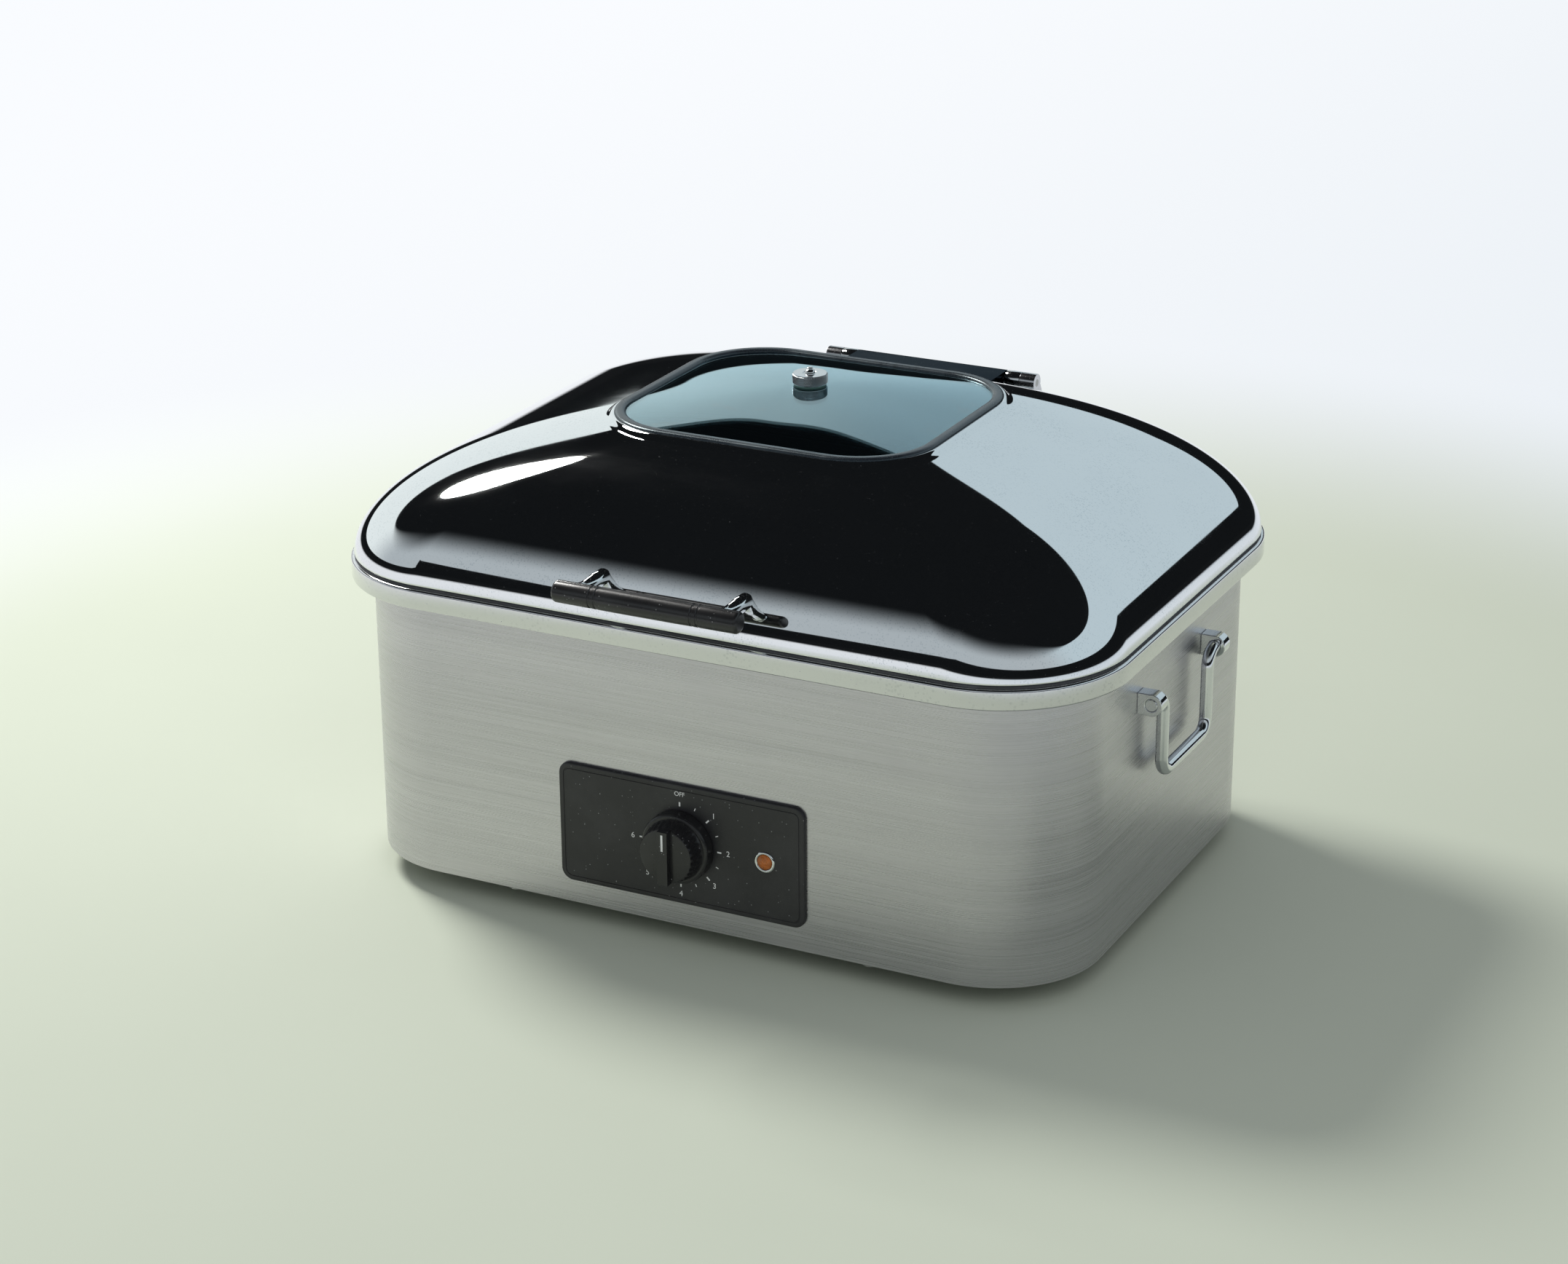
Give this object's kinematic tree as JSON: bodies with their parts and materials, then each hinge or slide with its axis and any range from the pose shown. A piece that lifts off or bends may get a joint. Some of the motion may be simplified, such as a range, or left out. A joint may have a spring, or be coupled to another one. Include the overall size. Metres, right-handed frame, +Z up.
{
  "type": "slow cooker",
  "caption": "Electric slow cooker: hinged polished dome lid with gasketed crowned glass and knurled vent knob, lift-out pot in a heated well, front dial, swinging end handles.",
  "frame": {"origin": "on the floor, under the middle of the overall box", "axes": "+X to the right seen from the front, +Y to the hinge at the back, +Z up"},
  "size_m": [0.528, 0.422, 0.3269],
  "materials": {
    "polished_steel": "mirror polish with dust and fine wipe marks",
    "chrome_parts": "bright plated turned metal",
    "brushed_steel": "fine brushed",
    "plain_steel": "plain mill finish",
    "element_sheath": "heat-darkened",
    "pot_coat": "satin dark non-stick coat",
    "gasket_rubber": "matte dark grey",
    "foot_rubber": "matte black",
    "window_glass": "clear with a pale blue-grey cast",
    "washer_plastic": "pale translucent",
    "black_plastic": "fine grain",
    "switch_plastic": "moulded, natural",
    "lamp_lens": "amber lens",
    "blanket_fibre": "loose mineral fibre",
    "pin_brass": "bright",
    "wire_brown": "sleeved",
    "wire_blue": "sleeved",
    "wire_green": "sleeved",
    "wire_white": "sleeved"
  },
  "bodies": {
    "base": {"housing_shell": "brushed_steel", "base_plate": "plain_steel", "floor_screws": "plain_steel", "foot_screws": "plain_steel", "top_rim": "polished_steel", "rim_seal": "gasket_rubber", "heating_well": "plain_steel", "insulation_blanket": "blanket_fibre", "heating_element": "element_sheath", "element_clamps": "plain_steel", "heat_shield": "plain_steel", "shield_standoffs": "plain_steel", "thermal_fuse": "plain_steel", "control_panel": "black_plastic", "rotary_switch": "switch_plastic", "switch_nut": "chrome_parts", "pilot_lens": "lamp_lens", "lamp_holder": "switch_plastic", "bail_lugs_right": "chrome_parts", "bail_lugs_left": "chrome_parts", "power_inlet": "black_plastic", "inlet_pins": "pin_brass", "inlet_screws": "plain_steel", "hinge_bracket": "polished_steel", "bracket_screws": "plain_steel", "hinge_pin_right": "plain_steel", "hinge_pin_left": "plain_steel", "foot_front_left": "foot_rubber", "foot_rear_left": "foot_rubber", "foot_front_right": "foot_rubber", "foot_rear_right": "foot_rubber", "wire_live": "wire_brown", "wire_neutral": "wire_blue", "wire_earth": "wire_green", "wire_link": "wire_white"},
    "lid": {"lid_dome": "polished_steel", "window_gasket": "gasket_rubber", "window_glass": "window_glass", "lid_grip": "black_plastic", "lid_grip_posts": "chrome_parts", "hinge_leaf": "polished_steel", "vent_stud": "chrome_parts", "vent_washer": "washer_plastic", "vent_lower_washer": "washer_plastic", "vent_nut": "chrome_parts"},
    "vent_knob": {"vent_knob": "chrome_parts"},
    "control_knob": {"control_knob": "black_plastic", "control_shaft": "plain_steel"},
    "cooking_pot": {"cooking_pot": "pot_coat"},
    "bail_right": {"bail_handle_right": "chrome_parts"},
    "bail_left": {"bail_handle_left": "chrome_parts"}
  },
  "joints": [
    {"name": "lid_hinge", "type": "hinge", "parent": "base", "child": "lid", "pos_m": [0, 0.197, 0.2748], "axis": [-1, 0, 0], "range_deg": [0, 95]},
    {"name": "vent_knob_turn", "type": "hinge", "parent": "lid", "child": "vent_knob", "pos_m": [0, 0.012, 0.32], "axis": [0, 0, 1], "range_deg": [0, 90]},
    {"name": "control_knob_turn", "type": "hinge", "parent": "base", "child": "control_knob", "pos_m": [0, -0.18, 0.072], "axis": [0, 1, 0], "range_deg": [0, 270]},
    {"name": "pot_lift", "type": "slide", "parent": "base", "child": "cooking_pot", "axis": [0, 0, 1], "range_m": [0, 0.025]},
    {"name": "bail_right_swing", "type": "hinge", "parent": "base", "child": "bail_right", "pos_m": [0.257, 0.012, 0.165], "axis": [0, -1, 0], "range_deg": [0, 90]},
    {"name": "bail_left_swing", "type": "hinge", "parent": "base", "child": "bail_left", "pos_m": [-0.257, 0.012, 0.165], "axis": [0, 1, 0], "range_deg": [0, 90]}
  ]
}
